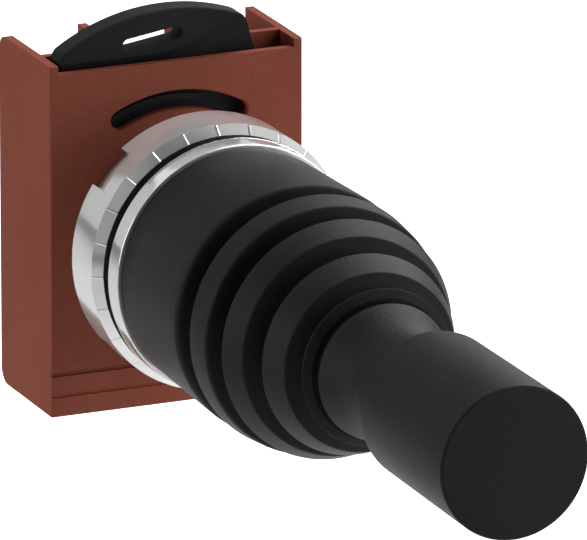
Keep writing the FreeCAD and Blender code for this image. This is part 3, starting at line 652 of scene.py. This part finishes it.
# %% [markdown]
# ### Wound pieces
# A spring and a thread are the same rule at different sizes: a round wire that follows a helix of constant
# radius. The Spiral curve gives the helix when both its radii are equal. Caps close the ends of the wire.


# %% The rule of a spring or thread
def helix_rule():
    """A wire wound round the Y axis, from the start forwards to -Y."""
    shape = Shape(
        "wound_piece",
        {
            "Radius": ("NodeSocketFloat", 0.001),
            "Turns": ("NodeSocketFloat", 5.0),
            "Pitch": ("NodeSocketFloat", 0.001),
            "Wire Radius": ("NodeSocketFloat", 0.0002),
            "Wire Sides": ("NodeSocketInt", 8),
            "Steps": ("NodeSocketInt", 32),
            "Start": ("NodeSocketVector", (0.0, 0.0, 0.0)),
        },
    )
    path = shape.node(
        "GeometryNodeCurveSpiral",
        {},
        {
            "Resolution": shape.size("Steps"),
            "Rotations": shape.size("Turns"),
            "Start Radius": shape.size("Radius"),
            "End Radius": shape.size("Radius"),
            "Height": shape.size("Turns") * shape.size("Pitch"),
        },
    )
    section = shape.node(
        "GeometryNodeCurvePrimitiveCircle",
        {},
        {"Resolution": shape.size("Wire Sides"), "Radius": shape.size("Wire Radius")},
    )
    wire = shape.node(
        "GeometryNodeCurveToMesh", {}, {"Curve": path, "Profile Curve": section, "Fill Caps": True}
    )
    wire = shape.node(
        "GeometryNodeTransform",
        {},
        {"Geometry": wire, "Rotation": (math.radians(90), 0, 0), "Translation": shape.size("Start")},
    )
    shape.end(shape.node("GeometryNodeSetShadeSmooth", {}, {"Geometry": wire, "Shade Smooth": True}))
    return shape


wound_piece = helix_rule()
print("wound pieces have", len(wound_piece.tree.nodes), "nodes")

# %% [markdown]
# ## The rubber boot
# The boot is one moulding: a plain skirt, three rings that step down in size, and a collar under the grip.
# Its profile is walked from the bezel to the grip, with the outside and the inside of the wall in step. Two
# joints bend it, up-down and left-right, and one piece can follow only one joint, so it is cut in the first
# groove into a lower and an upper half.

# %% Profile of the skirt
FOOT_IN_R = 10.6
FOOT_OUT_R = 12.45
FOOT_BACK_Y = -3.15
FOOT_FRONT_Y = -4.35
SKIRT_START_Y = -4.25
SKIRT_END_Y = -20.9
SKIRT_START_R = 13.89
SKIRT_END_R = 14.37
SKIRT_STEPS = 8
SHOULDER_IN_R = 11.85
# Each corner is its radius, its y and, where it is rounded, the radius of the rounding.
lower_outer = [
    (FOOT_IN_R, FOOT_BACK_Y),
    (FOOT_OUT_R, FOOT_BACK_Y),
    (FOOT_OUT_R, SKIRT_START_Y),
    (SKIRT_START_R, SKIRT_START_Y, 0.15),
]
for k in range(1, SKIRT_STEPS):
    part = k / SKIRT_STEPS
    skirt_r = SKIRT_START_R + part * (SKIRT_END_R - SKIRT_START_R)
    skirt_y = SKIRT_START_Y + part * (SKIRT_END_Y - SKIRT_START_Y)
    lower_outer.append((skirt_r, skirt_y))
lower_outer.append((SKIRT_END_R, SKIRT_END_Y, 0.9))
lower_inner = [
    (12.92, -20.4, 1.0),
    (12.72, -8.5, 1.0),
    (SHOULDER_IN_R, -7.0, 0.5),
    (SHOULDER_IN_R, FOOT_FRONT_Y),
    (FOOT_IN_R, FOOT_FRONT_Y),
]
print("skirt from y =", SKIRT_START_Y, "to", SKIRT_END_Y)

# %% [markdown]
# ### Rings and collar
# A groove and the ring after it are one row of numbers, and the loop walks down the table towards the grip.
# The faces lean and the grooves taper, because the rubber has to leave its mould. The cut lies in the first
# groove, so the first corner of that groove, outside and inside, goes to the lower half.

# %% Profile of the rings
FACE_SLOPE = 0.7
WALL = 1.15
FLOOR_RISE_BACK = 0.15
FLOOR_DROP_FRONT = 0.1
FLOOR_ROUNDING = 0.4
BACK_EDGE_ROUNDING = 0.15
INNER_ROUNDING = 0.8
RINGS = [
    # groove length, groove floor, ring length, ring radius at the back and at the front, its rounding
    (3.8, 11.55, 3.65, 14.34, 14.0, 0.6),
    (3.1, 10.8, 2.95, 13.5, 12.23, 0.5),
    (2.85, 9.8, 3.25, 11.28, 10.0, 0.45),
]
upper_outer = []
upper_inner = []
y = SKIRT_END_Y
for groove_length, floor_r, ring_length, back_r, front_r, rounding in RINGS:
    ring_y = y - groove_length
    upper_outer += [
        (floor_r + FLOOR_RISE_BACK, y - FACE_SLOPE, FLOOR_ROUNDING),
        (floor_r - FLOOR_DROP_FRONT, ring_y + FACE_SLOPE, FLOOR_ROUNDING),
        (back_r, ring_y, BACK_EDGE_ROUNDING),
        ((back_r + front_r) / 2, ring_y - ring_length / 2),
    ]
    upper_inner.append((floor_r - WALL, y - FACE_SLOPE, INNER_ROUNDING))
    y = ring_y - ring_length
    upper_outer.append((front_r, y, rounding))
lower_outer.append(upper_outer.pop(0))
lower_inner.insert(0, upper_inner.pop(0))
print(len(RINGS), "rings, the last one ends at y =", round(y, 3))

# %% Profile of the collar and the crown
COLLAR_Y = y - 1.9
NECK_Y = COLLAR_Y - 0.55
CROWN_Y = NECK_Y - 1.1
CROWN_WALL = 1.6
THROAT_R = 8.25
CROWN_R = 7.2
STICK_HOLE_R = 3.05
upper_outer += [
    (THROAT_R, y - FACE_SLOPE, 0.2),
    (THROAT_R, COLLAR_Y + 0.3, 0.2),
    (8.9, COLLAR_Y, 0.1),
    (7.87, NECK_Y, 0.12),
    (CROWN_R, NECK_Y, 0.1),
    (CROWN_R, CROWN_Y),
    (STICK_HOLE_R, CROWN_Y),
]
upper_inner += [(8.55, y, 0.8), (6.3, CROWN_Y + CROWN_WALL, 0.4), (STICK_HOLE_R, CROWN_Y + CROWN_WALL)]
print("boot ends at y =", round(CROWN_Y, 3))

# %% Both halves of the boot
BOOT_CUT_Y = -22.9
BOOT_AROUND = 240
cut_out = (11.5, BOOT_CUT_Y)
cut_in = (10.2, BOOT_CUT_Y)
lower_line = profile_mesh("boot_lower", lower_outer + [cut_out, cut_in] + lower_inner)
upper_line = profile_mesh("boot_upper", [cut_out] + upper_outer + upper_inner[::-1] + [cut_in])
boot_lower = turned_piece.make("boot_lower", lower_line, Around=BOOT_AROUND, Finish=boot_rubber)
boot_upper = turned_piece.make("boot_upper", upper_line, Around=BOOT_AROUND, Finish=boot_rubber)
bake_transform(boot_lower)
(COLLAR_Y + 1) * MM
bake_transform(boot_upper)
for half in (boot_lower, boot_upper):
    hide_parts("boot")

# %% [markdown]
# ## The hand grip
# The grip is turned too: a trumpet base, a waist, a round shoulder and a long barrel with a flat end. The
# waist has no corner anywhere, so its profile is a smooth curve through a few places, and the same tree turns
# it. The solid would do, but its long facets show as streaks on such a plain black barrel.


# %% Smooth part of a profile
def through(places, first_lean, last_lean, steps=8):
    """Points on a smooth curve through (r, y) places; the leans are its directions at both ends."""
    spots = [Vector(place) for place in places]
    leans = [Vector(first_lean).normalized()]
    leans += [(spots[i + 1] - spots[i - 1]).normalized() for i in range(1, len(spots) - 1)]
    leans.append(Vector(last_lean).normalized())
    line = []
    for i in range(len(spots) - 1):
        third = (spots[i + 1] - spots[i]).length / 3
        handles = spots[i] + leans[i] * third, spots[i + 1] - leans[i + 1] * third
        line += interpolate_bezier(spots[i], *handles, spots[i + 1], steps + 1)[:-1]
    return [(point.x, point.y) for point in line] + [places[-1]]


print("smooth profiles ready")

# %% Profile of the grip
grip_low, grip_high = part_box("grip")
GRIP_BASE_Y = grip_high[1] / MM
GRIP_END_Y = grip_low[1] / MM
GRIP_END_R = grip_high[0] / MM
GRIP_BASE_R = 7.62
GRIP_BORE_R = 4.5
GRIP_BORE_Y = -59.65
waist = [
    (GRIP_BASE_R, GRIP_BASE_Y - 0.12),
    (7.2, GRIP_BASE_Y - 1.2),
    (6.3, GRIP_BASE_Y - 3.53),
    (5.9, GRIP_BASE_Y - 6.1),
    (6.4, GRIP_BASE_Y - 8.83),
    (7.5, GRIP_BASE_Y - 10.93),
    (8.3, GRIP_BASE_Y - 13.1),
]
grip_line = [(GRIP_BORE_R, GRIP_BASE_Y), (GRIP_BASE_R, GRIP_BASE_Y, 0.05)]
grip_line += through(waist, first_lean=(-0.3, -1), last_lean=(0.1, -1))
grip_line += [
    (GRIP_END_R, GRIP_END_Y, 0.35),
    (0, GRIP_END_Y),
    (0, GRIP_BORE_Y),
    (GRIP_BORE_R, GRIP_BORE_Y),
]
print("grip from y =", round(GRIP_BASE_Y, 3), "to", round(GRIP_END_Y, 3))

# %% Hand grip
GRIP_AROUND = 256
grip_start = profile_mesh("hand_grip", grip_line)
hand_grip = turned_piece.make("hand_grip", grip_start, Around=GRIP_AROUND, Finish=grip_plastic)
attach(hand_grip, "stick")
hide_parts("grip")

# %% [markdown]
# ## Plunger springs
# Four small compression springs push the plungers back, one on each side of the stick. Their solids are
# plain sleeves of the same outer size. A helix is the rule of the real ones, so each is a use of the tree.

# %% Four coil springs
COIL_WIRE_R = 0.2 * MM
COIL_TURNS = 5.0
for side in ("top", "bottom", "left", "right"):
    low, high = (Vector(corner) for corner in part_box("spring_" + side))
    spring = wound_piece.make(
        "coil_" + side,
        Radius=(high.x - low.x) / 2 - COIL_WIRE_R,
        Turns=COIL_TURNS,
        Pitch=(high.y - low.y - 2 * COIL_WIRE_R) / COIL_TURNS,
        Wire_Radius=COIL_WIRE_R,
        Start=((low.x + high.x) / 2, high.y - COIL_WIRE_R, (low.z + high.z) / 2),
        Finish=steel,
    )
    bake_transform(spring)
    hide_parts("spring_" + side)

# %% [markdown]
# ## Thread on the neck
# The ring nut screws along the neck. The solid's neck is a plain cylinder at the bottom of the thread, so
# the thread's crest is a wire laid over it, half sunk in. Between nut and adapter it shows as fine rings.

# %% Thread
THREAD_FRONT_Y = 0.6
THREAD_BACK_Y = 12.6
THREAD_PITCH = 1.5
THREAD_R = 10.98
THREAD_WIRE_R = 0.24
thread = wound_piece.make(
    "neck_thread",
    Radius=THREAD_R * MM,
    Turns=(THREAD_BACK_Y - THREAD_FRONT_Y) / THREAD_PITCH,
    Pitch=THREAD_PITCH * MM,
    Wire_Radius=THREAD_WIRE_R * MM,
    Wire_Sides=6,
    Steps=128,
    Start=(0, THREAD_BACK_Y * MM, 0),
    Finish=bezel_metal,
)
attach(thread, "operator")

# %% [markdown]
# ## Camera
# The camera stands where the photograph was taken: a long lens, 23 degrees to the left and 17 degrees up.
# Its distance and lens were fitted together, because only both give the grip's size against the adapter's.

# %% Camera
AZIMUTH = math.radians(23.1704)
ELEVATION = math.radians(17.17)
FOCAL_PX = 11643.74
DISTANCE_MM = 1271.99
IMAGE_W_PX = 587
SENSOR_W_MM = 36.0
AIM_Y_MM = -6.9
AIM_RIGHT_MM = 4.99785
AIM_UP_MM = 0.771942
back = Vector(
    (-math.sin(AZIMUTH) * math.cos(ELEVATION), -math.cos(AZIMUTH) * math.cos(ELEVATION), math.sin(ELEVATION))
)
right = (-back).cross(Vector((0, 0, 1))).normalized()
up = right.cross(-back)
target = right * AIM_RIGHT_MM + up * AIM_UP_MM + Vector((0, AIM_Y_MM, 0))
lens = bpy.data.cameras.new("photo_camera")
lens.sensor_width = SENSOR_W_MM
lens.lens = FOCAL_PX / IMAGE_W_PX * SENSOR_W_MM
lens.clip_start = 0.05
lens.clip_end = 20.0
camera = bpy.data.objects.new("photo_camera", lens)
camera.matrix_world = Matrix.Translation((target + back * DISTANCE_MM) * MM) @ Matrix(
    (
        (right.x, up.x, back.x, 0),
        (right.y, up.y, back.y, 0),
        (right.z, up.z, back.z, 0),
        (0, 0, 0, 1),
    )
)
bpy.context.scene.collection.objects.link(camera)
bpy.context.scene.camera = camera
print("camera", lens.lens, "mm lens")

# %% [markdown]
# ## Lamps
# The photograph's light comes mostly from above and behind: the tops of the rings shine, and the flat front
# faces are dark. Large square lamps give such soft light. The strongest stand above, behind on the right and
# on the left. Three weaker ones in front on the right and a faint one behind on the left keep form in the
# shaded sides.

# %% Seven soft lamps
LAMP_DISTANCE = 0.9
LAMP_AIM = Vector((0.0, -0.02, 0.0))


def soft_lamp(name, direction, size, power):
    """Square lamp in that direction from the joystick, facing it."""
    lamp = bpy.data.lights.new(name, "AREA")
    lamp.shape = "SQUARE"
    lamp.size = size
    lamp.energy = power
    holder = bpy.data.objects.new(name, lamp)
    towards = Vector(direction).normalized()
    place = Matrix.Translation(LAMP_AIM + LAMP_DISTANCE * towards)
    holder.matrix_world = place @ towards.to_track_quat("Z", "Y").to_matrix().to_4x4()
    bpy.context.scene.collection.objects.link(holder)


soft_lamp("lamp_above", (0.36, 0.22, 0.91), size=0.5, power=4.7)
soft_lamp("lamp_behind_right", (0.7, 0.45, 0.55), size=0.6, power=4.2)
soft_lamp("lamp_behind_left", (-0.35, 0.5, 0.75), size=0.7, power=0.8)
soft_lamp("lamp_left", (-1.0, 0.25, 0.2), size=0.5, power=3.1)
soft_lamp("lamp_right", (0.7, -0.7, 0.2), size=0.6, power=1.8)
soft_lamp("lamp_front_low", (0.5, -0.85, -0.1), size=0.6, power=2.3)
soft_lamp("lamp_front_high", (0.5, -0.6, 0.6), size=0.5, power=1.15)

# %% [markdown]
# ## White room
# The room is white to the camera and gives matt surfaces no light of its own. A mirror also shows the dark
# side of the room, where the photographer stands. So reflections see grey behind the joystick and at both
# sides, and black in front, and the plating gets its bright and its dark parts.


# %% White room
def white_room(behind, left, right):
    """White to the camera; levels that reflections see towards each side."""
    world = bpy.data.worlds.new("white_room")
    bpy.context.scene.world = world
    world.use_nodes = True
    room = Graph(world.node_tree)
    place = room.node("ShaderNodeTexCoord", output="Generated")

    def side(axis, near, far, level):
        """0 up to near along the axis, level from far on."""
        return room.node(
            "ShaderNodeMapRange",
            {"interpolation_type": "SMOOTHSTEP"},
            {
                "Value": room.node("ShaderNodeSeparateXYZ", {}, {0: place}, output=axis),
                "From Min": near,
                "From Max": far,
                "To Max": level,
            },
        )

    seen = room.node("ShaderNodeLightPath", output="Is Camera Ray")
    glossy = room.node("ShaderNodeLightPath", output="Is Glossy Ray")
    through_glass = room.node("ShaderNodeLightPath", output="Is Transmission Ray")
    mirrored = side("Y", near=-0.2, far=0.5, level=behind)
    mirrored = mirrored + side("X", near=-0.1, far=-0.7, level=left)
    mirrored = mirrored + side("X", near=0.1, far=0.7, level=right)
    background = world.node_tree.nodes["Background"]
    background.inputs["Color"].default_value = (1, 1, 1, 1)
    room.feed(background.inputs["Strength"], seen + (1 - seen) * (glossy + through_glass) * mirrored)
    print("room: reflections see", behind, "behind,", left, "left,", right, "right")


white_room(behind=0.35, left=0.3, right=0.48)

# %% [markdown]
# ## White floor
# The floor lies well below the part, because in use a panel holds it. It is white paper: it keeps the
# shadow, and a glow that only the camera sees brings it near to white. The metal mirrors a weaker glow, and
# that only close by: a reflection that looks a quarter of a metre out finds it dark.


# %% White floor
def white_floor(z, half, paper, glow, mirror_level, mirror_near, mirror_far):
    """Paper that glows to the camera, and to reflections out to a distance."""
    finish = Finish("floor_paper")
    finish.set(Base_Color=(paper, paper, paper, 1.0), Roughness=0.9)
    seen = finish.node("ShaderNodeLightPath", output="Is Camera Ray")
    glossy = finish.node("ShaderNodeLightPath", output="Is Glossy Ray")
    distance = finish.node("ShaderNodeVectorMath", {"operation": "LENGTH"}, {0: finish.place}, output="Value")
    mirrored = 1 - finish.ramp(distance, mirror_near, mirror_far)
    finish.set(Emission_Color=finish.blend(seen + (1 - seen) * mirrored, (0, 0, 0), (1, 1, 1)))
    finish.set(Emission_Strength=glow * seen + mirror_level * glossy)
    mesh = bpy.data.meshes.new("floor")
    corners = [(-half, -half, z), (half, -half, z), (half, half, z), (-half, half, z)]
    mesh.from_pydata(corners, [], [(0, 1, 2, 3)])
    mesh.materials.append(finish.material)
    floor = bpy.data.objects.new("floor", mesh)
    bpy.context.scene.collection.objects.link(floor)
    print("floor at z =", z)


white_floor(z=-0.12, half=6.0, paper=0.82, glow=0.9, mirror_level=0.6, mirror_near=0.08, mirror_far=0.24)

# %% [markdown]
# ## Colours as they are written
# The Standard view shows a colour as its numbers say. The default view would grey the blacks and the
# red brown.

# %% View
bpy.context.scene.view_settings.view_transform = "Standard"
print("view:", bpy.context.scene.view_settings.view_transform)
